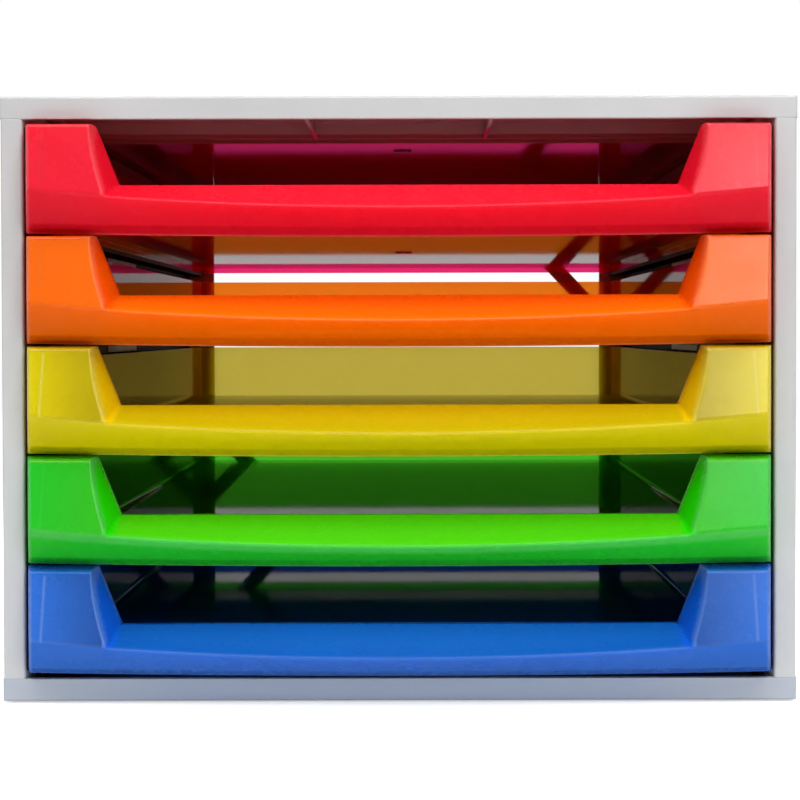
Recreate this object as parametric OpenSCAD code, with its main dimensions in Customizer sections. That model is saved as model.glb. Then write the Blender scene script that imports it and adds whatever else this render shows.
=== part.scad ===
// Desktop drawer tower: five translucent trays on rails in an open-backed panel case.
// Origin: middle of the footprint, on the surface that the feet stand on.
// +X is to the right, the drawers open towards -Y, +Z is up.

/* [Case] */
// Width over the top and base panels
case_w = 287.5; // [250:0.5:330]
// Depth of the case, without the drawer noses
case_d = 332; // [300:1:380]
// Height of the case, without the feet
case_h = 218.5; // [205:0.5:250]
// Height of the edge round the top and base panels
edge_h = 8.1; // [7:0.1:9]
// Thickness of the edge walls of the top and base panels
edge_wall = 2.4; // [1.8:0.1:3]
// Thickness of the skin of the top and base panels
panel_skin = 2.8; // [1.8:0.1:3]
// Radius on the outer edges of the top and base panels
edge_r = 0.9; // [0.4:0.1:1.5]
// Height of the ribs above the skin of the top and base panels
rib_h = 4.4; // [2:0.1:4.6]
// Thickness of the ribs in the top and base panels
rib_t = 1.6; // [1:0.1:2.4]
// Distance between the two short ribs of the top and base panels
short_rib_gap = 68; // [40:1:120]
// Height of the rear flanges of the top and base panels
flange_h = 31; // [20:0.1:45]

/* [Side panels] */
// Thickness of the side panels at their front and rear edges
side_t = 7.9; // [5.4:0.1:9]
// Thickness of the outer skin of the side panels
side_skin = 2.2; // [1.6:0.1:3]
// Step from the ends of the top and base panels in to the side panels
side_inset = 0.3; // [0.2:0.1:1]
// Thickness of the front edge and ribs of the side panels
side_rib_t = 2.4; // [1.6:0.1:3]
// Depth that the side panels reach into the top and base panels
tongue_h = 4.2; // [3:0.1:4.4]
// Width of the rear posts, measured from the inside of the side panels
post_w = 16.9; // [14:0.1:24]
// Clearance between the tongues and the panel walls
tongue_gap = 0.2; // [0.1:0.05:0.4]

/* [Corner braces] */
// Width of the two rear corner braces
brace_w = 9; // [6:0.5:10]
// Thickness of the two rear corner braces
brace_t = 2.4; // [1.6:0.1:3]
// Reach of a brace along the rear flange, from the post
brace_run = 42; // [25:0.5:60]
// Reach of a brace along the post, from the rear flange
brace_rise = 44.5; // [25:0.5:60]
// Diameter of the snap pins of the braces
brace_pin_d = 3; // [2:0.1:3.6]
// Length of brace between the edge it crosses and its pin
brace_lap = 4; // [3.5:0.1:4.5]

/* [Feet] */
// Diameter of the rubber feet
foot_d = 16; // [10:1:24]
// Height of the feet below the base panel
foot_proud = 0.8; // [0.5:0.1:2]
// Depth of the pockets that the feet sit in
foot_pocket = 1.2; // [0.8:0.1:1.4]
// Distance from the panel edges in to the middle of a foot
foot_in = 20; // [16:1:40]

/* [Drawer front] */
// Gap between the case and each end of a drawer front
front_side_gap = 1.3; // [0.8:0.1:3]
// Gap between neighbouring drawer fronts
front_gap = 1.4; // [1.2:0.1:3]
// Gap between the lowest drawer front and the base panel
floor_gap = 2.4; // [1.6:0.05:3]
// Gap between the highest drawer front and the top panel
ceiling_gap = 2.8; // [1.4:0.1:4]
// Wall thickness of the moulded drawer front
front_wall = 1.9; // [1.4:0.1:2.4]
// How far the top edge of an ear stands out
top_nose = 7.2; // [5:0.1:10]
// Lean of the ear face, in mm forward for each mm down
face_lean = 0.256; // [0.1:0.01:0.35]
// How far the lower band line stands out
band_nose = 5.4; // [3:0.1:7]
// Height of the lower band at the ends of the front
band_h = 3.1; // [2:0.1:4]
// Sag of the lower edge at the middle of the front
bottom_sag = 1.4; // [0:0.1:1.5]
// Height of the crease at the ends of the front
crease_h = 14.7; // [12:0.1:18]
// Sag of the crease at the middle of the front
crease_sag = 6.6; // [2:0.1:8]
// Inward slant of the ends of the front, in mm for each mm forward
end_slant = 0.3; // [0.2:0.01:0.6]
// Depth of the front behind the case's front plane
ear_back = 3; // [2:0.1:5]
// Rise of the ear's top from its front edge to its back edge
top_rise = 0.4; // [0:0.05:0.5]
// Height of the low edge between the ears
lip_h = 17.3; // [16:0.1:24]
// Depth of the low edge behind the case's front plane
lip_back = 0.5; // [0.1:0.1:1.5]
// Width of an ear along its top edge
ear_w = 24.8; // [18:0.1:40]
// Lean of the ear's rear inner edge, in mm for each mm down
ear_lean = 0.4; // [0.2:0.01:0.5]
// Bow of the ear's front ridge towards the middle, at the crease
ridge_bow = 5.6; // [2:0.1:8]
// Shape of that bow: 1 is a straight ridge, 2 a parabola
bow_power = 1.6; // [1:0.1:2.5]

/* [Tray] */
// Wall thickness of the tray
tray_wall = 1.8; // [1.2:0.1:2.4]
// Distance between the tray's sides and the case
tray_side_gap = 8.4; // [8.2:0.1:12]
// Thickness of the tray floor
floor_t = 1.7; // [1.2:0.1:1.9]
// Height of the underside of the floor
floor_h = 3; // [2.6:0.1:3.4]
// Height of the tray's rim
tray_rim_h = 34.2; // [28:0.1:35]
// Height of the lower edge of the tray's sides and back
skirt_h = 0.2; // [0:0.1:0.8]
// Outer radius of the tray's rear corners
tray_corner_r = 8; // [4:0.5:14]
// Radius between the tray's floor and its walls
fillet_r = 2.5; // [1:0.1:4]
// Width of the bead round the rim
bead_w = 1.2; // [0.8:0.1:1.8]
// Height of the bead round the rim
bead_h = 1.6; // [1:0.1:2.4]
// Gap between the tray's back and the rail's end stop
tray_rear_gap = 0.3; // [0.2:0.1:1]
// Length that a drawer can be pulled out
travel = 250; // [150:5:260]
// Length of each arm of the cross-shaped gate marks
gate_arm = 4; // [2:0.5:8]
// Width and height of the arms of the gate marks
gate_line = 0.6; // [0.4:0.1:1]

/* [Rails] */
// Thickness of the rails
rail_t = 1.8; // [1.4:0.1:2.2]
// Inner edge of the ledge, measured in from the tray's side
ledge_in = 2.5; // [1:0.1:3]
// Gap between the ledge and the tray's skirt
slide_gap = 0.1; // [0.05:0.05:0.3]
// Depth of the rail's web below the ledge
web_drop = 6.6; // [6:0.1:6.8]
// Height of the rail's web above the ledge
web_rise = 3; // [2.5:0.1:5]
// Height of the guide rib on the ledge
guide_h = 2.2; // [1.4:0.1:2.6]
// Side clearance between the tray and the guide rib
guide_gap = 0.6; // [0.3:0.1:0.8]
// Distance from the case front to the start of the rails
rail_front = 14; // [10:1:30]
// Size of the small ribs along the web
web_rib = 0.7; // [0.5:0.1:0.9]
// Distance between the small ribs along the web
web_rib_pitch = 1.6; // [1.4:0.05:1.6]
// Height of the stop lug and of the tray's stop tab above the ledge
stop_h = 7.5; // [6:0.1:10]
// Length of the stop lug and of the tray's stop tab
stop_l = 6; // [3:0.5:8]
// Distance from the case front to the clip tabs of the side panels
clip_front = 118; // [80:1:140]
// Length of the clip tabs of the side panels
clip_l = 58; // [20:1:70]
// Height of the clip tabs of the side panels
clip_h = 3.2; // [2:0.1:3.4]
// Clearance round the clip tabs
clip_gap = 0.3; // [0.1:0.05:0.4]

/* [Hidden] */
$fn = 64;

LEVELS = 5;
OVERCUT = 1;
// Far enough to reach past any face of a drawer front
BEYOND = 40;
// The ramp leaves the front face this far below its crease
crease_flat = 0.25;

// Places that several pieces share
inner_x = case_w / 2 - side_inset - side_t;
front_x = inner_x - front_side_gap;
tray_x = inner_x - tray_side_gap;
bay_h = case_h - 2 * edge_h;
pitch = (bay_h - floor_gap - ceiling_gap + front_gap) / LEVELS;
front_h = pitch - front_gap;
nose = top_nose + face_lean * (front_h - crease_h + crease_sag);
case_front = (nose - case_d) / 2;
post_x = inner_x - post_w;
rear_y = case_d - edge_wall;
brace_y = rear_y - brace_t;
stop_plate_y = brace_y - 1;
tray_back = stop_plate_y - tray_rear_gap;
web_x = inner_x - rail_t;
ledge_x = tray_x - ledge_in;
guide_x = tray_x + guide_gap;
stop_tab_y = tray_back - stop_l - 2;
stop_lug_y = stop_tab_y - travel - 0.3 - stop_l;
// Ribs across the top and base panels, measured from the front
cross_ribs = [43, 55.5, 68];
// Place of the gate mark on the top and base panels, measured from the front
gate_in = 121;
foot_gap = 0.3;
pin_gap = 0.05;

function level_z(i) = foot_proud + edge_h + floor_gap + i * pitch;

// ---- Shape of the drawer front, in its own frame: y = 0 is the case's front plane,
// ---- z = 0 is the lower edge at the ends of the front

// 1 at the middle of the front, 0 at its ends
function droop(x) = 1 - pow(x / front_x, 2);
function face_y(z) = -top_nose - face_lean * (front_h - z);
function bottom_point(x) = [0, -bottom_sag * droop(x)];
function band_point(x) = [-band_nose, band_h - bottom_sag * droop(x)];
function crease_point(x) = let (z = crease_h - crease_sag * droop(x)) [face_y(z), z];
function lip_point() = [lip_back, lip_h];
function front_line(x) = [bottom_point(x), band_point(x), crease_point(x),
    [-top_nose, front_h], [ear_back, front_h + top_rise]];
function ramp_line(x) = let (c = crease_point(x) - [0, crease_flat], l = lip_point())
    [c + (c - l) * 0.6, l, [BEYOND, lip_h]];
function ridge_x(z) = front_x - ear_w
    - ridge_bow * pow(max(0, front_h - z) / (front_h - crease_h), bow_power);
function inner_edge_x(z) = front_x - ear_w - ear_lean * (front_h + top_rise - z);

// Offset of an open line by t, to the right of its direction
function right_normal(a, b) = let (d = (b - a) / norm(b - a)) [d[1], -d[0]];
function offset_line(p, t) = [for (i = [0 : len(p) - 1])
    let (n1 = right_normal(p[max(i - 1, 0)], p[max(i, 1)]),
        n2 = right_normal(p[min(i, len(p) - 2)], p[min(i + 1, len(p) - 1)]))
    p[i] + (n1 + n2) * t / (1 + n1 * n2)];

// Closed skin over a stack of rings that all have the same number of points
function ring_faces(rings, n) = concat(
    [[for (i = [0 : n - 1]) i]],
    [for (k = [0 : rings - 2], i = [0 : n - 1]) [k * n + i, (k + 1) * n + i, k * n + (i + 1) % n]],
    [for (k = [0 : rings - 2], i = [0 : n - 1])
        [k * n + (i + 1) % n, (k + 1) * n + i, (k + 1) * n + (i + 1) % n]],
    [[for (i = [n - 1 : -1 : 0]) (rings - 1) * n + i]]);

module ring_stack(rings) {
    polyhedron([for (r = rings) each r], ring_faces(len(rings), len(rings[0])), convexity = 4);
}

// Places across the front, from right to left
front_steps = [for (i = [8 : -1 : -8]) i / 8 * (front_x + 2)];

module front_loft(inset) {
    ring_stack([for (x = front_steps)
        let (line = inset > 0 ? inner_outline(x, inset) : outer_outline(x))
        [for (p = line) [x, p[0], p[1]]]]);
}

function outer_outline(x) = concat(front_line(x), [[ear_back, bottom_point(x)[1]]]);

// The inside of the front is open to the back and below the band
function inner_outline(x, t) = let (p = offset_line(front_line(x), t), low = bottom_point(x)[1])
    [[t, low - BEYOND], [t, low + t / 2], p[1], p[2], p[3], [BEYOND, p[4][1]], [BEYOND, low - BEYOND]];

// Plan of the front: its ends slant inwards towards the nose
module front_plan(inset) {
    half = front_x - inset;
    tip = half - end_slant * BEYOND;
    back = inset > 0 ? BEYOND : ear_back;
    translate([0, 0, -BEYOND])
        linear_extrude(3 * BEYOND)
            polygon([[-half, back], [half, back], [half, 0], [tip, -BEYOND], [-tip, -BEYOND],
                [-half, 0]]);
}

// Space between the ears, inside the two bevelled ear walls
cut_heights = [-10, 6, crease_h, lip_h, 24, 30, 35, front_h + top_rise, 60];

module ear_space(inset) {
    ring_stack([for (z = cut_heights)
        let (h = min(z, front_h + top_rise), back = inner_edge_x(h) + inset,
            lean = (ridge_x(z) + inset - back) / (lip_back - face_y(h)),
            fore = face_y(h) - 0.1, wide = back + lean * (lip_back - fore))
        [[back, lip_back, z], [back, BEYOND + 1, z], [-back, BEYOND + 1, z], [-back, lip_back, z],
            [-wide, fore, z], [-wide, -BEYOND, z], [wide, -BEYOND, z], [wide, fore, z]]]);
}

// Space above the ramp that rises from the crease to the low edge
module ramp_space(inset) {
    ring_stack([for (x = front_steps)
        let (p = offset_line(ramp_line(x), inset))
        [for (q = [p[1], p[0], [-2 * BEYOND, p[0][1]], [-2 * BEYOND, 2 * BEYOND],
            [BEYOND, 2 * BEYOND], p[2]]) [x, q[0], q[1]]]]);
}

module front_block(inset) {
    intersection() {
        front_loft(inset);
        front_plan(inset);
    }
}

// Solid front: the part below the ramp and low edge, with the two ears
module front_form(inset) {
    difference() {
        front_block(inset);
        ramp_space(inset);
    }
    difference() {
        front_block(inset);
        ear_space(inset);
    }
}

module front_shell() {
    difference() {
        front_form(0);
        front_form(front_wall);
    }
}

// ---- Tray

// Outline of the tray from y0 back, with round rear corners
module tray_plan(y0, grow) {
    r = tray_corner_r + grow;
    x = tray_x + grow;
    y = tray_back + grow;
    translate([-x, y0])
        square([2 * x, y - r - y0]);
    translate([r - x, y0])
        square([2 * (x - r), y - y0]);
    for (s = [-1, 1])
        translate([s * (x - r), y - r])
            circle(r);
}

module tray_ring(y0, z0, z1, grow) {
    translate([0, 0, z0])
        linear_extrude(z1 - z0)
            difference() {
                tray_plan(y0, grow);
                tray_plan(y0 - OVERCUT, -tray_wall);
            }
}

// Floor: its front edge ends inside the wall of the front
module tray_floor() {
    floor_steps = [for (i = [-8 : 8]) i / 8 * (tray_x - tray_wall / 2)];
    translate([0, 0, floor_h])
        linear_extrude(floor_t) {
            tray_plan(ear_back, -tray_wall / 2);
            polygon(concat([for (x = floor_steps) [x, floor_front_y(x)]],
                [[tray_x - tray_wall / 2, 2 * ear_back], [tray_wall / 2 - tray_x, 2 * ear_back]]));
        }
    gate_mark(case_d / 2, floor_h - gate_line);
}

// Cross that the moulding gate leaves, with its lowest face at z
module gate_mark(y, z) {
    long = 2 * gate_arm;
    for (size = [[long, gate_line], [gate_line, long]])
        translate([-size[0] / 2, y - size[1] / 2, z])
            cube([size[0], size[1], gate_line + 0.2]);
}

// Middle of the front's wall at the height of the middle of the floor
function floor_front_y(x) = let (p = offset_line(front_line(x), front_wall / 2),
    z = floor_h + floor_t / 2, t = (z - p[1][1]) / (p[2][1] - p[1][1]))
    t > 0 ? p[1][0] + t * (p[2][0] - p[1][0])
        : p[1][0] + (z - p[1][1]) / (p[0][1] - p[1][1]) * (p[0][0] - p[1][0]);

// Side wall, carried forward into the wall of the front
module tray_cheek() {
    x = tray_x - tray_wall / 2;
    p = offset_line(front_line(x), front_wall / 2);
    top_y = face_y(tray_rim_h) + front_wall / 2;
    translate([tray_x - tray_wall, 0, 0])
        rotate([90, 0, 90])
            linear_extrude(tray_wall)
                polygon([[2 * ear_back, skirt_h], [p[0][0] + 1, skirt_h], p[1], p[2],
                    [top_y, tray_rim_h], [2 * ear_back, tray_rim_h]]);
}

// Concave fillet between the floor and a side wall
module floor_fillet() {
    translate([tray_x - tray_wall, ear_back, floor_h + floor_t])
        rotate([90, 0, 180])
            linear_extrude(tray_back - tray_corner_r - ear_back)
                difference() {
                    translate([-0.3, -0.3])
                        square(fillet_r + 0.3);
                    translate([fillet_r, fillet_r])
                        circle(fillet_r);
                }
}

module stop_tab() {
    reach = web_x - tray_x - 2 * web_rib - 1;
    translate([tray_x - 0.5, stop_tab_y, guide_h + skirt_h + 1.4])
        cube([reach + 0.5, stop_l, stop_h - guide_h]);
}

module drawer(level, tint) {
    color(tint, 0.85)
        translate([0, case_front, level_z(level)]) {
            front_shell();
            tray_floor();
            tray_ring(ear_back, skirt_h, tray_rim_h, 0);
            tray_ring(2 * ear_back + OVERCUT, tray_rim_h - bead_h, tray_rim_h, bead_w);
            for (s = [0, 1])
                mirror([s, 0, 0]) {
                    tray_cheek();
                    floor_fillet();
                    stop_tab();
                }
        }
}

module drawer_blue() { drawer(0, "royalblue"); }
module drawer_green() { drawer(1, "limegreen"); }
module drawer_yellow() { drawer(2, "gold"); }
module drawer_orange() { drawer(3, "darkorange"); }
module drawer_red() { drawer(4, "crimson"); }

// ---- Rails

ledge_top = skirt_h - slide_gap;
clip_z = ledge_top - rail_t - clip_gap - clip_h;

module bar(x0, x1, y0, y1, z0, z1) {
    translate([x0, y0, z0])
        cube([x1 - x0, y1 - y0, z1 - z0]);
}

// Right-hand rail of one level, with its tray's lower edge at z = 0
module rail_profile() {
    bar(web_x, inner_x, rail_front, rear_y, ledge_top - web_drop, ledge_top + web_rise);
    bar(ledge_x, web_x, rail_front, rear_y, ledge_top - rail_t, ledge_top);
    bar(guide_x, guide_x + 1.2, rail_front, rear_y, ledge_top, ledge_top + guide_h);
    for (k = [1 : 3])
        bar(web_x - web_rib, web_x, rail_front, rear_y,
            ledge_top - rail_t - k * web_rib_pitch, ledge_top - rail_t - k * web_rib_pitch + web_rib);
}

module rail() {
    lug_x = web_x - (web_x - tray_x) / 2 - 1;
    difference() {
        union() {
            rail_profile();
            bar(ledge_x, web_x, stop_plate_y, rear_y, ledge_top, ledge_top + web_rise);
            bar(lug_x, inner_x, stop_lug_y, stop_lug_y + stop_l, ledge_top, ledge_top + stop_h);
        }
        bar(web_x - OVERCUT, inner_x + OVERCUT, clip_front - clip_gap, clip_front + clip_l + clip_gap,
            clip_z - clip_gap, clip_z + clip_h + clip_gap);
        // Lead-in for the tray at the front of the ledge
        translate([0, rail_front, ledge_top])
            rotate([20, 0, 0])
                bar(ledge_x - OVERCUT, web_x, -BEYOND, 0, 0, BEYOND);
    }
}

module rail_right(level) {
    color([0.09, 0.09, 0.1])
        translate([0, case_front, level_z(level)])
            rail();
}

module rail_left(level) {
    mirror([1, 0, 0])
        rail_right(level);
}

// ---- Case

module rounded_rect(w, d, r) {
    translate([-w / 2, r - d / 2])
        square([w, d - 2 * r]);
    translate([r - w / 2, -d / 2])
        square([w - 2 * r, d]);
    for (sx = [-1, 1], sy = [-1, 1])
        translate([sx * (w / 2 - r), sy * (d / 2 - r)])
            circle(r);
}

// Block with the origin in the middle of its lower face and all its edges rounded
module rounded_block(w, d, h, r) {
    intersection() {
        linear_extrude(h)
            rounded_rect(w, d, r);
        translate([0, d / 2, h / 2])
            rotate([90, 0, 0])
                linear_extrude(d)
                    rounded_rect(w, h, r);
        translate([-w / 2, 0, h / 2])
            rotate([90, 0, 90])
                linear_extrude(w)
                    rounded_rect(d, h, r);
    }
}

// Base panel; the top panel is the same without the foot pockets, and turned over
module panel(pocket_depth) {
    inside = panel_skin;
    gate_mark(gate_in, inside - 0.2);
    difference() {
        intersection() {
            translate([0, case_d / 2, 0])
                rounded_block(case_w, case_d, 2 * edge_h, edge_r);
            bar(-case_w, case_w, -1, case_d + 1, -1, edge_h);
        }
        bar(edge_wall - case_w / 2, case_w / 2 - edge_wall, edge_wall, case_d - edge_wall,
            inside, edge_h + 1);
        if (pocket_depth > 0)
            for (sx = [-1, 1], y = [foot_in, case_d - foot_in])
                translate([sx * (case_w / 2 - foot_in), y, -OVERCUT])
                    cylinder(h = OVERCUT + pocket_depth, d = foot_d + 2 * foot_gap);
    }
    for (y = cross_ribs)
        bar(side_rib_t - inner_x, inner_x - side_rib_t, y, y + rib_t, inside - 0.2, inside + rib_h);
    for (sx = [-1, 1])
        bar(sx * short_rib_gap / 2 - rib_t / 2, sx * short_rib_gap / 2 + rib_t / 2,
            edge_wall - 0.2, cross_ribs[1] + rib_t / 2, inside - 0.2, inside + rib_h);
    difference() {
        bar(foot_gap - post_x, post_x - foot_gap, rear_y, case_d, edge_h - 1, flange_h);
        brace_holes();
    }
}

// Ends of the brace in x and z, for the lower left corner seen from the front
brace_low = [brace_run - post_x, flange_h];
brace_high = [-post_x, flange_h + brace_rise];
brace_dir = (brace_high - brace_low) / norm(brace_high - brace_low);
brace_ends = [brace_low - brace_dir * brace_lap, brace_high + brace_dir * brace_lap];

module brace_pins(d, y0, y1) {
    for (e = brace_ends)
        translate([e[0], rear_y + y0, e[1]])
            rotate([-90, 0, 0])
                cylinder(h = y1 - y0, d = d);
}

module brace() {
    long = norm(brace_ends[1] - brace_ends[0]);
    angle = atan2(brace_dir[1], brace_dir[0]);
    translate([brace_ends[0][0], rear_y, brace_ends[0][1]])
        rotate([90, -angle, 0])
            linear_extrude(brace_t) {
                translate([0, -brace_w / 2])
                    square([long, brace_w]);
                circle(d = brace_w);
                translate([long, 0])
                    circle(d = brace_w);
            }
    brace_pins(brace_pin_d, -0.2, edge_wall);
}

// Right-hand side panel; the left-hand one is its mirror image
module side_panel() {
    out_x = case_w / 2 - side_inset;
    skin_x = out_x - side_skin;
    top = case_h - edge_h;
    tongue_x = case_w / 2 - edge_wall - tongue_gap;
    tongue_rear = rear_y - tongue_gap;
    intersection() {
        translate([(inner_x + out_x) / 2, case_d / 2, edge_h])
            linear_extrude(top - edge_h)
                rounded_rect(out_x - inner_x, case_d, edge_r);
        union() {
            bar(skin_x, out_x, 0, case_d, edge_h, top);
            bar(inner_x, out_x, 0, side_rib_t, edge_h, top);
            bar(inner_x, out_x, rear_y, case_d, edge_h, top);
        }
    }
    bar(post_x, inner_x + edge_r, rear_y, case_d, edge_h, top);
    for (z = [edge_h - tongue_h, top - side_rib_t])
        bar(inner_x, tongue_x, edge_wall + tongue_gap, tongue_rear,
            z, z + tongue_h + side_rib_t);
    for (k = [1 : 3])
        bar(inner_x, skin_x + 0.2, k * case_d / 4, k * case_d / 4 + side_rib_t, edge_h, top);
    for (i = [0 : LEVELS - 1])
        clip_tab(i, skin_x);
}

module brace_holes() {
    brace_pins(brace_pin_d + 2 * pin_gap, -OVERCUT, edge_wall + OVERCUT);
}

// Tab that the rail of one level snaps over
module clip_tab(level, skin_x) {
    z = level_z(level) - foot_proud + clip_z;
    bar(web_x - web_rib, skin_x, clip_front, clip_front + clip_l, z, z + clip_h);
    bar(inner_x, skin_x + 0.2, clip_front, clip_front + clip_l, max(z, edge_h), max(z, edge_h) + clip_h);
}

module foot(sx, back) {
    y = back ? case_d - foot_in : foot_in;
    color([0.2, 0.2, 0.21])
        translate([sx * (case_w / 2 - foot_in), case_front + y, 0])
            cylinder(h = foot_proud + foot_pocket, d = foot_d);
}

module in_case() {
    translate([0, case_front, foot_proud])
        children();
}

// Half a turn about the case's depth axis
module turned_over() {
    translate([0, 0, case_h / 2])
        rotate([0, 180, 0])
            translate([0, 0, -case_h / 2])
                children();
}

module base_panel() { color("gainsboro") in_case() panel(foot_pocket); }
module top_panel() { color("gainsboro") in_case() turned_over() panel(0); }

module left_side_panel() {
    color("gainsboro")
        in_case()
            difference() {
                mirror([1, 0, 0])
                    side_panel();
                brace_holes();
            }
}

module right_side_panel() {
    color("gainsboro")
        in_case()
            difference() {
                side_panel();
                turned_over()
                    brace_holes();
            }
}

module left_corner_brace() { color("silver") in_case() brace(); }
module right_corner_brace() { color("silver") in_case() turned_over() brace(); }
module foot_front_left() { foot(-1, false); }
module foot_front_right() { foot(1, false); }
module foot_rear_left() { foot(-1, true); }
module foot_rear_right() { foot(1, true); }

base_panel();
top_panel();
left_side_panel();
right_side_panel();
left_corner_brace();
right_corner_brace();
foot_front_left();
foot_front_right();
foot_rear_left();
foot_rear_right();
rail_left(0);  // rail_left_1
rail_left(1);  // rail_left_2
rail_left(2);  // rail_left_3
rail_left(3);  // rail_left_4
rail_left(4);  // rail_left_5
rail_right(0);  // rail_right_1
rail_right(1);  // rail_right_2
rail_right(2);  // rail_right_3
rail_right(3);  // rail_right_4
rail_right(4);  // rail_right_5
drawer_blue();
drawer_green();
drawer_yellow();
drawer_orange();
drawer_red();
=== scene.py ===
"""Looks of the drawer tower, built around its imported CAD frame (Blender 4.5)."""
import math
from functools import reduce
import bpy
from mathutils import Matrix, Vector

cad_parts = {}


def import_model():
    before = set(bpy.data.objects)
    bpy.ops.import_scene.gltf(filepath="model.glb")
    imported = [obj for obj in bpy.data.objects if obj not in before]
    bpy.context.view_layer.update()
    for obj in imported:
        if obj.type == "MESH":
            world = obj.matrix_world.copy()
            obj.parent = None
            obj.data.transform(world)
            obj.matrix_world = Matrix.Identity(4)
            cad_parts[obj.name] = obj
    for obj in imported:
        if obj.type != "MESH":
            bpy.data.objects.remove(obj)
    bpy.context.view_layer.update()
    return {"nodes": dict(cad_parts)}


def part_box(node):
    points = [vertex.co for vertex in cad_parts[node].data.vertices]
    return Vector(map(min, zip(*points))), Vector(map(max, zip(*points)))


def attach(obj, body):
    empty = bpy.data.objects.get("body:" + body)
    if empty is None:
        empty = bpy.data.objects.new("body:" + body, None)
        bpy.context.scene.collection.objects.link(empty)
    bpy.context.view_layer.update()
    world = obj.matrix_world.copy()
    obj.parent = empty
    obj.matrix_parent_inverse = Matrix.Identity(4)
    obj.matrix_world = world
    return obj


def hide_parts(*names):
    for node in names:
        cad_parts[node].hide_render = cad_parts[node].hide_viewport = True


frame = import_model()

from types import SimpleNamespace
from typing import NamedTuple

import bmesh
import bpy
import numpy as np
from mathutils import Euler, Vector

MM = 0.001
NODES = frame["nodes"]

scene = bpy.context.scene
scene.view_settings.view_transform = "Standard"


# ---- Places in the frame, in metres

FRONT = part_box("left_side_panel")[0].y
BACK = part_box("left_side_panel")[1].y
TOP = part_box("top_panel")[1].z


# ---- Outline of a drawer front, in millimetres: x from its middle, h above its level, and the depth y from
# the case's front plane, where negative is forward

# The same sizes as in the CAD source
FRONT_X, FRONT_H = 134.25, 38.3
TOP_NOSE, FACE_LEAN, TOP_RISE, EAR_BACK = 7.2, 0.256, 0.4, 3.0
BAND_NOSE, BAND_H, BOTTOM_SAG = 5.4, 3.1, 1.4
CREASE_H, CREASE_SAG, CREASE_FLAT = 14.7, 6.6, 0.25
LIP_H, LIP_BACK, END_SLANT = 17.3, 0.5, 0.3
EAR_W, EAR_LEAN, RIDGE_BOW, BOW_POWER = 24.8, 0.4, 5.6, 1.6
TRAY_X = 127.15
EAR_TOP = FRONT_H + TOP_RISE

# How softly each pair of faces runs into each other, measured in depth
ROUND_CREASE, ROUND_EAR_CREASE, ROUND_BAND, ROUND_END = 3.0, 1.2, 0.3, 3.0
ROUND_TOP, ROUND_RIDGE, ROUND_VALLEY = 4.0, 1.6, 3.0
# Inward from the ridge, the rounding changes over this width from the ridge's to the crease's
RIDGE_TO_CREASE = 8
# Radius of the edge along the top of the ears
EAR_ROUND = 1.3
# Lower limits that keep a division from failing
LEAST_ROUND, LEAST_LEAN = 1e-9, 1e-3


def soft_max(a, b, k):
    """The larger of a and b, raised where they are closer than k."""
    k = np.maximum(k, LEAST_ROUND)
    near = np.maximum(k - np.abs(a - b), 0) / k
    return np.maximum(a, b) + near * near * k / 4


def droop(x):
    """1 in the middle of the front and 0 at its ends."""
    return 1 - (x / FRONT_X) ** 2


def face_y(h):
    """Depth of the leaning outer face."""
    return -TOP_NOSE - FACE_LEAN * (FRONT_H - h)


def fold_heights(x):
    """Heights of the lower edge, of the top of the band along it and of the crease."""
    return -BOTTOM_SAG * droop(x), BAND_H - BOTTOM_SAG * droop(x), CREASE_H - CREASE_SAG * droop(x)


def inner_edge_x(h):
    """How far out an ear's bevelled inner wall starts, at its back edge."""
    return FRONT_X - EAR_W - EAR_LEAN * (EAR_TOP - np.minimum(h, EAR_TOP))


def ridge_x(h):
    """How far out the bowed ridge lies, where that wall meets the outer face."""
    return FRONT_X - EAR_W - RIDGE_BOW * (np.maximum(0, FRONT_H - h) / (FRONT_H - CREASE_H)) ** BOW_POWER


def front_y(x, h, soft=1.0):
    """Depth of the front's outer face at x and height h, with its edges rounded, or sharp where soft is 0."""
    x = np.abs(x)
    low_h, band_h, top_h = fold_heights(x)
    nose = face_y(top_h)
    low = -BAND_NOSE + (h - band_h) * (nose + BAND_NOSE) / (top_h - band_h)
    band = -BAND_NOSE * (h - low_h) / (band_h - low_h)
    top = -TOP_NOSE + (h - FRONT_H) * (TOP_NOSE + EAR_BACK) / TOP_RISE
    block = soft_max(face_y(h), low, soft * ROUND_EAR_CREASE)
    block = soft_max(block, band, soft * ROUND_BAND)
    ramp = LIP_BACK + (h - LIP_H) * (LIP_BACK - nose) / (LIP_H - top_h + CREASE_FLAT)
    back = inner_edge_x(h)
    lean = (ridge_x(h) - back) / (LIP_BACK - face_y(h))
    wall = LIP_BACK - (x - back) / np.maximum(lean, LEAST_LEAN)
    inner = -soft_max(-ramp, -wall, soft * ROUND_VALLEY)
    middle = np.clip((ridge_x(h) - x) / RIDGE_TO_CREASE, 0, 1)
    y = soft_max(block, inner, soft * (ROUND_RIDGE + (ROUND_CREASE - ROUND_RIDGE) * middle))
    y = soft_max(y, -(FRONT_X - x) / END_SLANT, soft * ROUND_END)
    up = np.clip(h - FRONT_H + EAR_ROUND, 0, EAR_ROUND)
    y = y + soft * (EAR_ROUND - np.sqrt(EAR_ROUND ** 2 - up ** 2))
    return np.minimum(soft_max(y, top, soft * ROUND_TOP), EAR_BACK)


# ---- Node helpers

def grey(v):
    return (v, v, v, 1)


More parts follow.
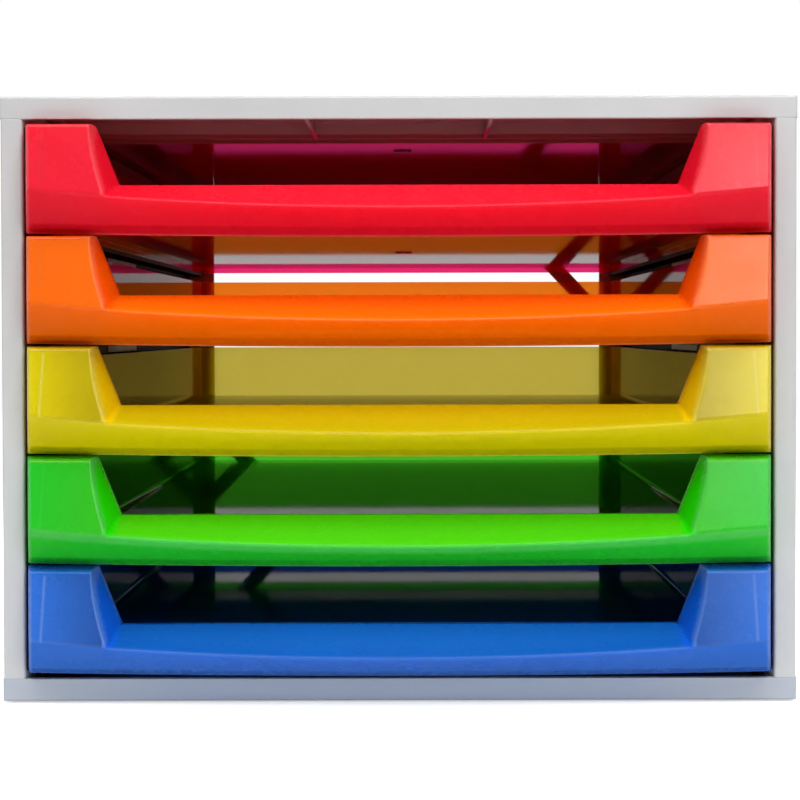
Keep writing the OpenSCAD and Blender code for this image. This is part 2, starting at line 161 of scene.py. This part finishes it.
class Tree:
    """Short names for the nodes of one material or world."""

    def __init__(self, owner):
        owner.use_nodes = True
        self.owner = owner
        self.nt = owner.node_tree
        self.nt.nodes.clear()

    def node(self, kind, **sockets):
        n = self.nt.nodes.new(kind)
        for key, value in sockets.items():
            self.feed(n.inputs[key.replace("_", " ")], value)
        return n

    def feed(self, socket, value):
        if isinstance(value, bpy.types.NodeSocket):
            self.nt.links.new(value, socket)
        else:
            socket.default_value = value

    def feed_first(self, n, *values):
        """Feeds a node's first inputs in their order, and gives its first output."""
        for socket, value in zip(n.inputs, values):
            self.feed(socket, value)
        return n.outputs[0]

    def position(self):
        return self.node("ShaderNodeTexCoord").outputs["Object"]

    def axes(self):
        return self.node("ShaderNodeSeparateXYZ", Vector=self.position()).outputs

    def math(self, operation, a, b=0.0):
        n = self.node("ShaderNodeMath")
        n.operation = operation
        return self.feed_first(n, a, b)

    def absolute(self, value):
        return self.math("ABSOLUTE", value)

    def rest(self, share):
        """What a share leaves of 1."""
        return self.math("SUBTRACT", 1.0, share)

    def product(self, *values):
        return reduce(lambda a, b: self.math("MULTIPLY", a, b), values)

    def highest(self, *values):
        return reduce(lambda a, b: self.math("MAXIMUM", a, b), values)

    def ramp(self, value, low, high, out_low, out_high):
        """Runs from out_low at low to out_high at high, and stays level past them."""
        return self.feed_first(self.node("ShaderNodeMapRange"), value, low, high, out_low, out_high)

    def between(self, share, a, b):
        """A number that is a where the share is 0 and b where it is 1."""
        return self.ramp(share, 0, 1, a, b)

    def within(self, value, low, high, soft):
        """1 between low and high, 0 outside, with soft borders."""
        return self.product(self.ramp(value, low - soft, low + soft, 0, 1),
                            self.ramp(value, high - soft, high + soft, 1, 0))

    def scaled(self, colour, factor):
        n = self.node("ShaderNodeVectorMath")
        n.operation = "SCALE"
        self.feed(n.inputs["Scale"], factor)
        return self.feed_first(n, colour if isinstance(colour, bpy.types.NodeSocket) else colour[:3])

    def blend(self, factor, a, b):
        n = self.node("ShaderNodeMix")
        n.data_type = "RGBA"
        self.feed(n.inputs[0], factor)
        self.feed(n.inputs[6], a)
        self.feed(n.inputs[7], b)
        return n.outputs[2]

    def noise(self, scale, detail=2.0, rough=0.5, stretch=(1, 1, 1)):
        mapping = self.node("ShaderNodeMapping", Vector=self.position(), Scale=stretch)
        n = self.node("ShaderNodeTexNoise", Vector=mapping.outputs[0], Scale=scale, Detail=detail,
                      Roughness=rough)
        return n.outputs["Fac"]

    def bump(self, height, strength, distance, normal=None):
        n = self.node("ShaderNodeBump", Height=height, Strength=strength, Distance=distance)
        if normal is not None:
            self.feed(n.inputs["Normal"], normal)
        return n.outputs[0]

    def round_edges(self, radius):
        n = self.node("ShaderNodeBevel", Radius=radius)
        n.samples = 6
        return n.outputs[0]

    def mix_shader(self, factor, a, b):
        return self.feed_first(self.node("ShaderNodeMixShader"), factor, a, b)

    def done(self, shader, output="ShaderNodeOutputMaterial"):
        self.nt.links.new(shader, self.node(output).inputs["Surface"])
        return self.owner


# ---- Plastics and rubber

# The case is polished inside this box and spark-eroded outside it, with borders this soft
CORE_X, CORE_FRONT, CORE_BACK = 0.130, FRONT + 0.003, BACK - 0.001
CORE_LOW, CORE_HIGH = 0.0015, TOP - 0.0015
CORE_SOFT_X, CORE_SOFT = 0.001, 0.0005
# Painted shade: from the upper of these heights to the lower one, the case darkens to this share of its
# colour, for light that falls off towards the bottom
CASE_SHADE_HEIGHTS, CASE_SHADE_SHARE = (0.01, 0.20), 0.82
# Painted shade: what lies below these heights takes a dark bluish tint for the shade under the drawer fronts,
# which weakens over these distances from the middle
BASE_SHADE_HEIGHTS, BASE_SHADE_TINT = (0.0085, 0.0095), (0.225, 0.285, 0.390, 1)
BASE_SHADE_X, BASE_SHADE_SHARES = (0.080, 0.135), (0.80, 0.45)


def case_plastic():
    """Light grey moulded plastic: spark-eroded outside, polished inside, with faint flow clouds and wear,
    painted shade towards the bottom and a painted bluish shade on the base.
    """
    t = Tree(bpy.data.materials.new("case_plastic"))
    x, y, z = t.axes()
    cloud = t.noise(14, detail=4, rough=0.6)
    base = t.blend(t.ramp(cloud, 0.35, 0.65, 0, 1), (0.530, 0.540, 0.548, 1), (0.565, 0.575, 0.582, 1))
    # Painted shade: the case darker towards the bottom
    base = t.scaled(base, t.ramp(z, *CASE_SHADE_HEIGHTS, CASE_SHADE_SHARE, 1))
    # Painted shade: the base darker and bluer, most in the middle
    base_shade = t.product(t.ramp(z, *BASE_SHADE_HEIGHTS, 1, 0), t.ramp(t.absolute(x), *BASE_SHADE_X, *BASE_SHADE_SHARES))
    base = t.blend(base_shade, base, BASE_SHADE_TINT)
    core = t.product(t.within(x, -CORE_X, CORE_X, CORE_SOFT_X),
                     t.within(y, CORE_FRONT, CORE_BACK, CORE_SOFT),
                     t.within(z, CORE_LOW, CORE_HIGH, CORE_SOFT))
    wear = t.noise(90, detail=5, rough=0.7)
    satin = t.ramp(wear, 0.3, 0.7, 0.36, 0.50)
    polish = t.ramp(wear, 0.3, 0.7, 0.03, 0.06)
    grain = t.noise(5200, detail=2, rough=0.6)
    normal = t.bump(grain, t.between(core, 0.12, 0.01), 0.0002, t.round_edges(0.0006))
    p = t.node("ShaderNodeBsdfPrincipled", Base_Color=base, Roughness=t.between(core, satin, polish),
               Normal=normal)
    return t.done(p.outputs[0])


def rail_plastic():
    """Black plastic with faint streaks along the rails, a thin gloss over a matt base."""
    t = Tree(bpy.data.materials.new("rail_plastic"))
    streak = t.noise(160, detail=4, rough=0.7, stretch=(1, 0.05, 1))
    base = t.blend(t.ramp(streak, 0.3, 0.7, 0, 1), (0.008, 0.008, 0.009, 1), (0.020, 0.020, 0.022, 1))
    normal = t.bump(t.noise(3000), 0.08, 0.0002, t.round_edges(0.0003))
    matt = t.node("ShaderNodeBsdfDiffuse", Color=base, Normal=normal)
    sheen = t.node("ShaderNodeBsdfGlossy", Color=grey(1), Roughness=t.ramp(streak, 0.3, 0.7, 0.30, 0.45),
                   Normal=normal)
    return t.done(t.mix_shader(t.ramp(streak, 0.3, 0.7, 0.03, 0.06), matt.outputs[0], sheen.outputs[0]))


def foot_rubber():
    """Soft dark rubber with a dusty bloom."""
    t = Tree(bpy.data.materials.new("foot_rubber"))
    dust = t.noise(700, detail=5, rough=0.75)
    base = t.blend(t.ramp(dust, 0.4, 0.75, 0, 1), (0.035, 0.035, 0.038, 1), (0.085, 0.083, 0.080, 1))
    normal = t.bump(t.noise(2600, detail=3), 0.3, 0.0003, t.round_edges(0.0005))
    p = t.node("ShaderNodeBsdfPrincipled", Base_Color=base, Roughness=t.ramp(dust, 0.3, 0.8, 0.7, 0.95),
               Specular_IOR_Level=0.3, Normal=normal)
    return t.done(p.outputs[0])


# ---- Drawer plastic

class Tint(NamedTuple):
    """One drawer's plastic: the colours that it scatters in each zone, which are lit and shaded copies of one
    colour as painted light and shade, and how strong two of its painted highlight marks are.
    """
    ramp: tuple      # the ramp between the ears, and the tray
    foot: tuple      # the foot of the ramp, down at the crease, painted lighter than the ramp on some drawers and darker on others
    wall: tuple      # the bevelled inner walls of the ears
    face: tuple      # the outer faces
    lit: tuple       # painted light: the outer faces lighter at their ends and below the crease
    through: tuple   # light that passes through a face
    joint: float     # a painted highlight line where the side of the tray stands behind the front
    gleam: float     # a painted highlight: a paler strip just under the crease


TINTS = {
    "blue": Tint((0.008, 0.175, 0.710), (0.007, 0.140, 0.590), (0.006, 0.145, 0.840),
                 (0.020, 0.090, 0.370), (0.038, 0.205, 0.780), (0.16, 0.42, 0.85), 0.80, 0.0),
    "green": Tint((0.085, 0.680, 0.002), (0.095, 0.740, 0.006), (0.018, 0.830, 0.001),
                  (0.050, 0.570, 0.016), (0.016, 0.650, 0.026), (0.38, 0.84, 0.22), 0.15, 0.70),
    "yellow": Tint((0.800, 0.590, 0.001), (0.690, 0.570, 0.001), (0.960, 0.710, 0.001),
                   (0.470, 0.370, 0.001), (0.860, 0.740, 0.001), (0.80, 0.80, 0.38), 0.80, 0.10),
    "orange": Tint((1.000, 0.142, 0.001), (1.000, 0.225, 0.001), (1.000, 0.150, 0.001),
                   (1.000, 0.195, 0.001), (1.000, 0.190, 0.001), (1.00, 0.64, 0.16), 0.10, 0.0),
    "red": Tint((1.000, 0.011, 0.040), (1.000, 0.009, 0.040), (1.000, 0.008, 0.038),
                (0.940, 0.014, 0.046), (1.000, 0.013, 0.042), (1.00, 0.26, 0.66), 0.10, 0.0),
}
# Painted highlight lines on the front: this much of the lit colour, plus this much white
HIGHLIGHT_SHARE, HIGHLIGHT_WHITE = 0.88, 0.10

# Borders of the zones of a drawer front, in metres. By depth: where the front gives way to the tray
TRAY_START = (0.002, 0.007)
# By height over the crease: its own border, the foot of the ramp, and the face that is deep below it
CREASE_BORDER, FOOT_RUN, DEEP_RUN = (-0.0004, 0.0004), (0.0005, 0.0075), (-0.010, -0.001)
# By distance past the ridge, past the ear's inner edge, and from the middle, where the ends get painted light
RIDGE_BORDER, WALL_BORDER, LIT_RUN = (-0.0006, 0.0006), (-0.0015, 0.0006), (0.100, 0.131)
# By height: the top of the band along the lower edge, and the rim along the top
BAND_BORDER = ((BAND_H - 0.3) * MM, (BAND_H + 0.1) * MM)
RIM_BORDER = ((FRONT_H - 1.7) * MM, (FRONT_H - 1.3) * MM)
# By distance from the middle: the side walls of the tray
CHEEK_BORDER = ((TRAY_X - 2.4) * MM, (TRAY_X - 1.9) * MM)

# Painted highlight lines on the front: the distances at which they start and end to fade, and the gleam's run
# to the crease
JOINT_LINE, BEND_LINE, RIDGE_LINE = (0.0002, 0.0007), (0.0002, 0.0008), (0.0003, 0.0010)
EDGE_LINE, END_LINE, GLEAM_RUN = (0.0002, 0.0007), (0.0005, 0.0013), (-0.0038, -0.0024)
# The joint line's place, inside the tray's outer side, and the heights where it ends
JOINT_X, JOINT_END = (TRAY_X - 1) * MM, (0.0360, 0.0370)
BEND_SHARE, RIDGE_SHARE = 0.12, 0.6
# Depth, in millimetres, over which the slant of the ends is worked out; it reaches past the nose
SLANT_RUN = 20

# Shares of the painted lit colour at the ends and below the crease, and of the ramp's colour at the rim
END_LIT, LOW_LIT, RIM_SHARE = 0.9, 0.9, 0.7
# Painted shade: how much the band, and the face deep below the crease, are darkened
BAND_SHADE, LOW_SHADE = 0.12, 0.10
# Specular level in general, and below the crease and at the foot of the ramp
SPECULAR, LOW_SPECULAR = 0.5, 0.12
# Shares of the light that goes straight through, and of the rest that is scattered through
CLEAR_FRONT, CLEAR_TRAY, CLEAR_SIDE = 0.08, 0.60, 0.20
GLOW_FRONT, GLOW_TRAY = 0.33, 0.45
PLASTIC_IOR = 1.5


def front_zones(t, x, z, level):
    """Masks over a drawer front, and the distances that its lines follow, in metres."""
    side = t.absolute(x)
    h = t.math("SUBTRACT", z, level)
    across = t.math("POWER", t.math("DIVIDE", x, FRONT_X * MM), 2.0)
    over_edge = t.math("SUBTRACT", h, t.between(across, -BOTTOM_SAG * MM, 0))
    over_crease = t.math("SUBTRACT", h, t.between(across, (CREASE_H - CREASE_SAG) * MM, CREASE_H * MM))
    fall = t.math("POWER", t.ramp(h, CREASE_H * MM, FRONT_H * MM, 1, 0), BOW_POWER)
    ridge = t.math("SUBTRACT", (FRONT_X - EAR_W) * MM, t.product(fall, RIDGE_BOW * MM))
    past_ridge = t.math("SUBTRACT", side, ridge)
    inner_edge = t.ramp(h, LIP_H * MM, EAR_TOP * MM, inner_edge_x(LIP_H) * MM, inner_edge_x(EAR_TOP) * MM)
    above = t.ramp(over_crease, *CREASE_BORDER, 0, 1)
    slope = t.product(t.ramp(past_ridge, *RIDGE_BORDER, 1, 0), above)
    wall = t.product(slope, t.ramp(t.math("SUBTRACT", side, inner_edge), *WALL_BORDER, 0, 1))
    return SimpleNamespace(
        side=side, h=h, over_edge=over_edge, over_crease=over_crease, past_ridge=past_ridge,
        above=above, below=t.rest(above), slope=slope, wall=wall,
        foot=t.ramp(over_crease, *FOOT_RUN, 1, 0), deep=t.ramp(over_crease, *DEEP_RUN, 1, 0),
        band=t.ramp(over_edge, *BAND_BORDER, 1, 0), ends=t.ramp(side, *LIT_RUN, 0, END_LIT))


def painted_highlights(t, y, zones, tint):
    """Mask of the painted highlight lines on a drawer front, along its folds and edges."""
    def line(distance, fade, share):
        return t.ramp(t.absolute(distance), *fade, share, 0)
    joint = t.product(line(t.math("SUBTRACT", zones.side, JOINT_X), JOINT_LINE, tint.joint),
                      zones.above, t.ramp(zones.h, *JOINT_END, 1, 0))
    bend = line(zones.over_crease, BEND_LINE, BEND_SHARE)
    ridge = t.product(line(zones.past_ridge, RIDGE_LINE, RIDGE_SHARE), zones.above)
    gleam = t.product(t.ramp(zones.over_crease, *GLEAM_RUN, 0, tint.gleam), zones.below)
    end_x = t.ramp(y, FRONT - SLANT_RUN * MM, FRONT, (FRONT_X - END_SLANT * SLANT_RUN) * MM, FRONT_X * MM)
    end = t.ramp(t.math("SUBTRACT", end_x, zones.side), *END_LINE, 1, 0)
    return t.highest(joint, bend, ridge, gleam, t.ramp(zones.over_edge, *EDGE_LINE, 1, 0), end)


def drawer_colour(t, tint, zones, lines, tray, front):
    """Colour that the plastic scatters: one in the tray, and one for each zone of the front, lit and shaded
    copies of one colour as painted light and shade.
    """
    ramp, foot, wall, face, lit_face = (colour + (1,) for colour in tint[:5])
    # Painted light: the lit colour at the ends and below the crease
    lit = t.highest(zones.ends, t.product(zones.below, front, LOW_LIT))
    # Painted light and shade: the foot of the ramp by the crease, and the ears' bevelled walls, in colours of
    # their own
    slope = t.blend(t.product(zones.foot, front), ramp, foot)
    slope = t.blend(t.product(zones.wall, front), slope, wall)
    rim = t.ramp(zones.h, *RIM_BORDER, 0, RIM_SHARE)
    own = t.blend(t.highest(rim, zones.slope, tray), t.blend(lit, face, lit_face), slope)
    # Painted highlights along the folds and edges, in a paler colour
    highlight_colour = tuple(HIGHLIGHT_SHARE * c + HIGHLIGHT_WHITE for c in tint.lit) + (1,)
    return t.blend(t.product(lines, front), own, highlight_colour)


def tray_plastic(colour):
    """Clear tinted plastic: polished and see-through in the tray, milky and satin in the double front, whose
    colour carries painted light, shade and highlight lines.
    """
    tint = TINTS[colour]
    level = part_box("drawer_" + colour)[0].z + BOTTOM_SAG * MM
    t = Tree(bpy.data.materials.new(colour + "_plastic"))
    x, y, z = t.axes()
    tray = t.ramp(y, FRONT + TRAY_START[0], FRONT + TRAY_START[1], 0, 1)
    front = t.rest(tray)
    zones = front_zones(t, x, z, level)
    lines = painted_highlights(t, y, zones, tint)
    # Painted shade on the band and on the face deep below the crease
    shade = t.math("ADD", t.product(zones.band, t.rest(lines), BAND_SHADE), t.product(zones.deep, LOW_SHADE))
    cloud = t.ramp(t.noise(26, detail=4, rough=0.55), 0.3, 0.7, 0.97, 1.0)
    # The front's colour, milky, with its painted light, shade and highlights and faint flow clouds
    milky = t.scaled(drawer_colour(t, tint, zones, lines, tray, front),
                     t.math("SUBTRACT", cloud, t.product(front, shade)))
    scuff = t.noise(60, detail=6, rough=0.75)
    rough = t.between(tray, t.ramp(scuff, 0.35, 0.7, 0.24, 0.32), t.ramp(scuff, 0.35, 0.7, 0.03, 0.06))
    grain = t.noise(1500, detail=3, rough=0.6)
    normal = t.bump(grain, t.between(tray, 0.04, 0.012), 0.0002, t.round_edges(0.0004))
    matt_foot = t.product(zones.slope, front, t.ramp(zones.foot, 0.75, 0.95, 0, 1))
    dull = t.highest(t.product(zones.below, front), matt_foot)
    gloss = t.node("ShaderNodeBsdfPrincipled", Base_Color=milky, Roughness=rough, Normal=normal,
                   Specular_IOR_Level=t.between(dull, SPECULAR, LOW_SPECULAR))
    glow = t.node("ShaderNodeBsdfTranslucent", Color=milky, Normal=normal)
    body = t.mix_shader(t.between(tray, GLOW_FRONT, GLOW_TRAY), gloss.outputs[0], glow.outputs[0])
    clear = t.node("ShaderNodeBsdfTransparent", Color=tint.through + (1,))
    cheek = t.ramp(t.absolute(x), *CHEEK_BORDER, CLEAR_TRAY, CLEAR_SIDE)
    share = t.math("ADD", t.between(tray, CLEAR_FRONT, cheek), t.ramp(scuff, 0.3, 0.7, -0.02, 0.02))
    mirror = t.node("ShaderNodeFresnel", IOR=PLASTIC_IOR)
    return t.done(t.mix_shader(t.product(share, t.rest(mirror.outputs[0])), body, clear.outputs[0]))


# ---- Drawer fronts: the CAD outline with its edges rounded, as a fine skin over the CAD solid

# Steps of the skin's grid across: from the middle out to MIDDLE_X, from there to the ear, and over the ear
MIDDLE_STEPS, MIDDLE_X, OUTER_STEPS, EAR_STEPS = 30, 90.0, 24, 70
# Steps up the full width: over the band, over the face up to the crease, and from there to the lip
BAND_STEPS, FACE_STEPS, LIP_STEPS = 8, 20, 22
# Heights up the ears, with the steps from each to the next, finer towards the rounded top
EAR_ROWS = ((LIP_H, 34), (36.9, 10), (38.1, 8), (FRONT_H, 6), (EAR_TOP, 0))

# A CAD face gives way to the skin if it lies this close to the outline and this far forward of the ears'
# back, in millimetres, and looks forward or up at least so much
OUTLINE_REACH, BACK_MARGIN = 1.5, 0.2
LOOKS_FORWARD, LOOKS_UP = -0.01, 0.9
# Vertices closer than this are one, and edges that turn by more than this angle stay sharp
WELD, SHARP = 1e-6, math.radians(20)


def spread(*marks):
    """Values that run through the marks given as (value, steps to the next)."""
    out = []
    for (v0, n), (v1, _) in zip(marks, marks[1:]):
        out += [v0 + (v1 - v0) * i / n for i in range(n)]
    return np.array(out + [marks[-1][0]])


def skin_patches():
    """The skin as grids of x, y and h: the full-width lower part and the upper parts of the two ears."""
    ear_x = float(inner_edge_x(LIP_H))
    side = spread((0.0, MIDDLE_STEPS), (MIDDLE_X, OUTER_STEPS), (ear_x, EAR_STEPS), (FRONT_X, 0))
    xs = np.concatenate([-side[:0:-1], side])
    low, band, crease = fold_heights(xs)
    rows = []
    for v in spread((0.0, BAND_STEPS), (1.0, FACE_STEPS), (2.0, LIP_STEPS), (3.0, 0)):
        if v <= 1:
            h = low + (band - low) * v
        elif v <= 2:
            h = band + (crease - band) * (v - 1)
        else:
            h = crease + (LIP_H - crease) * (v - 2)
        rows.append((xs, front_y(xs, h), h))
    patches = [np.array(rows)]
    for sign in (-1, 1):
        rows = []
        for h in spread(*EAR_ROWS):
            back = float(inner_edge_x(h))
            line = back + (FRONT_X - back) * np.linspace(0, 1, EAR_STEPS + 1)
            hs = np.full_like(line, h)
            rows.append((sign * line, front_y(line, hs), hs))
        patches.append(np.array(rows))
    return patches


def cut_front(bm, level):
    """Takes the CAD solid's sharp outer faces off the front."""
    outer = []
    for face in bm.faces:
        middle = face.calc_center_median()
        x, y, h = middle.x / MM, (middle.y - FRONT) / MM, (middle.z - level) / MM
        near = abs(y - float(front_y(np.array(x), np.array(h), 0))) < OUTLINE_REACH
        outward = face.normal.y < LOOKS_FORWARD or face.normal.z > LOOKS_UP
        if near and outward and y < EAR_BACK - BACK_MARGIN:
            outer.append(face)
    bmesh.ops.delete(bm, geom=outer, context="FACES")


def add_skin(bm, level):
    """Adds the skin's patches, all facing outward."""
    for patch in skin_patches():
        grid = [[bm.verts.new((x * MM, FRONT + y * MM, level + h * MM)) for x, y, h in row.T]
                for row in patch]
        mirrored = patch[0, 0, 0] > patch[0, 0, -1]
        for low, high in zip(grid, grid[1:]):
            for j in range(len(low) - 1):
                ring = [low[j], low[j + 1], high[j + 1], high[j]]
                bm.faces.new(ring[::-1] if mirrored else ring)


def moulded(name, material):
    """The drawer's CAD solid with a rounded skin in place of the front's sharp outer faces."""
    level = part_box(name)[0].z + BOTTOM_SAG * MM
    bm = bmesh.new()
    bm.from_mesh(NODES[name].data)
    bmesh.ops.remove_doubles(bm, verts=bm.verts, dist=WELD)
    bm.normal_update()
    cut_front(bm, level)
    for edge in bm.edges:
        edge.smooth = len(edge.link_faces) == 2 and edge.calc_face_angle(0) < SHARP
    add_skin(bm, level)
    for face in bm.faces:
        face.smooth = True
    mesh = bpy.data.meshes.new(name + "_moulding")
    bm.to_mesh(mesh)
    bm.free()
    mesh.materials.append(material)
    ob = bpy.data.objects.new(name + "_moulding", mesh)
    scene.collection.objects.link(ob)
    weigh = ob.modifiers.new("even_normals", "WEIGHTED_NORMAL")
    weigh.keep_sharp = True
    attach(ob, name)
    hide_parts(name)


# ---- Every CAD node gets its material, and each drawer its moulding

def dress(name, material):
    mesh = NODES[name].data
    mesh.materials.clear()
    mesh.materials.append(material)


case_mat, rail_mat, foot_mat = case_plastic(), rail_plastic(), foot_rubber()
for name in NODES:
    if name.startswith("rail_"):
        dress(name, rail_mat)
    elif name.startswith("foot_"):
        dress(name, foot_mat)
    elif name.startswith("drawer_"):
        material = tray_plastic(name.split("_")[1])
        dress(name, material)
        moulded(name, material)
    else:
        dress(name, case_mat)


# ---- Floor and backdrop

# Half the side of the floor
FLOOR_HALF = 4.0
# The paper darkens between these distances from the object's origin, from one value to the other
PAPER_RUN, PAPER_NEAR, PAPER_FAR = (0.36, 0.60), 0.90, 0.06
# What the camera sees is brightened by this much near the object and far from it
GLOW_NEAR, GLOW_FAR = 0.50, 0.96
# Reflections see the same brightening further back than this, and none nearer
BEHIND = (0.25, 0.45)
# The room's light, by direction: dim in front of the object and bright behind it
ROOM_TURN, ROOM_FRONT, ROOM_BACK = (-0.1, 0.5), 0.12, 0.95


def white_stage():
    """White paper round the object, dark further out so that it lights the fronts little from below.

    To the camera, and in reflections behind the object, it is white all over, with its shadow kept.
    """
    t = Tree(bpy.data.materials.new("floor_paper"))
    cloud = t.ramp(t.noise(3, detail=3), 0.3, 0.7, 0.98, 1.0)
    reach = t.node("ShaderNodeVectorMath", Vector=t.position())
    reach.operation = "LENGTH"
    paper = t.ramp(reach.outputs["Value"], *PAPER_RUN, PAPER_NEAR, PAPER_FAR)
    diffuse = t.node("ShaderNodeBsdfDiffuse", Color=t.scaled(grey(1), t.product(paper, cloud)))
    path = t.node("ShaderNodeLightPath").outputs
    mirrored = t.product(t.highest(path["Is Glossy Ray"], path["Is Transmission Ray"]),
                         t.ramp(t.axes()["Y"], *BEHIND, 0, 1))
    glow = t.product(t.highest(path["Is Camera Ray"], mirrored),
                     t.ramp(paper, PAPER_FAR, PAPER_NEAR, GLOW_FAR, GLOW_NEAR))
    lamp = t.node("ShaderNodeEmission", Color=grey(1), Strength=glow)
    return t.done(t.feed_first(t.node("ShaderNodeAddShader"), diffuse.outputs[0], lamp.outputs[0]))


def floor():
    mesh = bpy.data.meshes.new("floor")
    half = FLOOR_HALF
    mesh.from_pydata([(-half, -half, 0), (half, -half, 0), (half, half, 0), (-half, half, 0)], [],
                     [(0, 1, 2, 3)])
    ob = bpy.data.objects.new("floor", mesh)
    scene.collection.objects.link(ob)
    mesh.materials.append(white_stage())


def world():
    """White to the camera; otherwise a bright backdrop behind the object and a dim room in front of it."""
    t = Tree(bpy.data.worlds.new("studio"))
    path = t.node("ShaderNodeLightPath").outputs
    seen = t.highest(path["Is Camera Ray"], path["Is Transmission Ray"])
    direction = t.node("ShaderNodeSeparateXYZ", Vector=t.node("ShaderNodeTexCoord").outputs["Generated"])
    room = t.ramp(direction.outputs["Y"], *ROOM_TURN, ROOM_FRONT, ROOM_BACK)
    back = t.node("ShaderNodeBackground", Color=grey(1), Strength=t.between(seen, room, 1.0))
    scene.world = t.done(back.outputs[0], "ShaderNodeOutputWorld")


floor()
world()


# ---- Lights

# The two lamps in front at the sides face this point, at mid height in the object's front half
FRONT_AIM = (0, -0.05, 0.11)


def softbox(name, place, aim, size, watts, hidden=False):
    """A rectangular lamp; a hidden one lights the object without showing itself or its reflection."""
    lamp = bpy.data.lights.new(name, "AREA")
    lamp.shape = "RECTANGLE"
    lamp.size, lamp.size_y = size
    lamp.energy = watts
    ob = bpy.data.objects.new(name, lamp)
    scene.collection.objects.link(ob)
    ob.location = place
    ob.rotation_euler = (Vector(aim) - Vector(place)).to_track_quat("-Z", "Y").to_euler()
    ob.visible_glossy = not hidden
    ob.visible_camera = not hidden


softbox("key_softbox", place=(0.75, -1.5, 0.95), aim=FRONT_AIM, size=(0.65, 0.65), watts=11)
softbox("fill_softbox", place=(-1.45, -1.3, 0.7), aim=FRONT_AIM, size=(1.1, 1.2), watts=4)
softbox("top_softbox", place=(0.0, -0.9, 1.8), aim=(0, -0.1, 0.15), size=(1.8, 0.9), watts=34)
softbox("low_softbox", place=(0.0, -0.36, 0.008), aim=(0, -0.16, 0.14), size=(1.2, 0.05), watts=0.54,
        hidden=True)
softbox("back_softbox", place=(0.0, 1.3, 0.5), aim=(0, 0, 0.11), size=(1.6, 1.0), watts=9, hidden=True)


# ---- Camera: the photograph's viewpoint, close to the front and a little above its middle

# Place, lens and sensor in millimetres, angles in degrees, and shifts as shares of the sensor
CAMERA_PLACE = (6.6, -623.49, 134.6)
LENS, SENSOR = 58.01, 36
LOOK_DOWN, ROLL = 0.8, -0.12
SHIFT_X, SHIFT_Y = -0.0217, -0.0636
# Nearest and furthest distance that the camera shows, in metres
NEAREST, FURTHEST = 0.01, 30


def camera():
    cam = bpy.data.cameras.new("camera")
    cam.sensor_width = SENSOR
    cam.lens = LENS
    cam.clip_start = NEAREST
    cam.clip_end = FURTHEST
    cam.shift_x = SHIFT_X
    cam.shift_y = SHIFT_Y
    ob = bpy.data.objects.new("camera", cam)
    scene.collection.objects.link(ob)
    ob.location = tuple(v * MM for v in CAMERA_PLACE)
    level = Euler((math.radians(90 - LOOK_DOWN), 0, 0)).to_matrix()
    ob.rotation_euler = (level @ Euler((0, 0, math.radians(ROLL))).to_matrix()).to_euler()
    scene.camera = ob


camera()
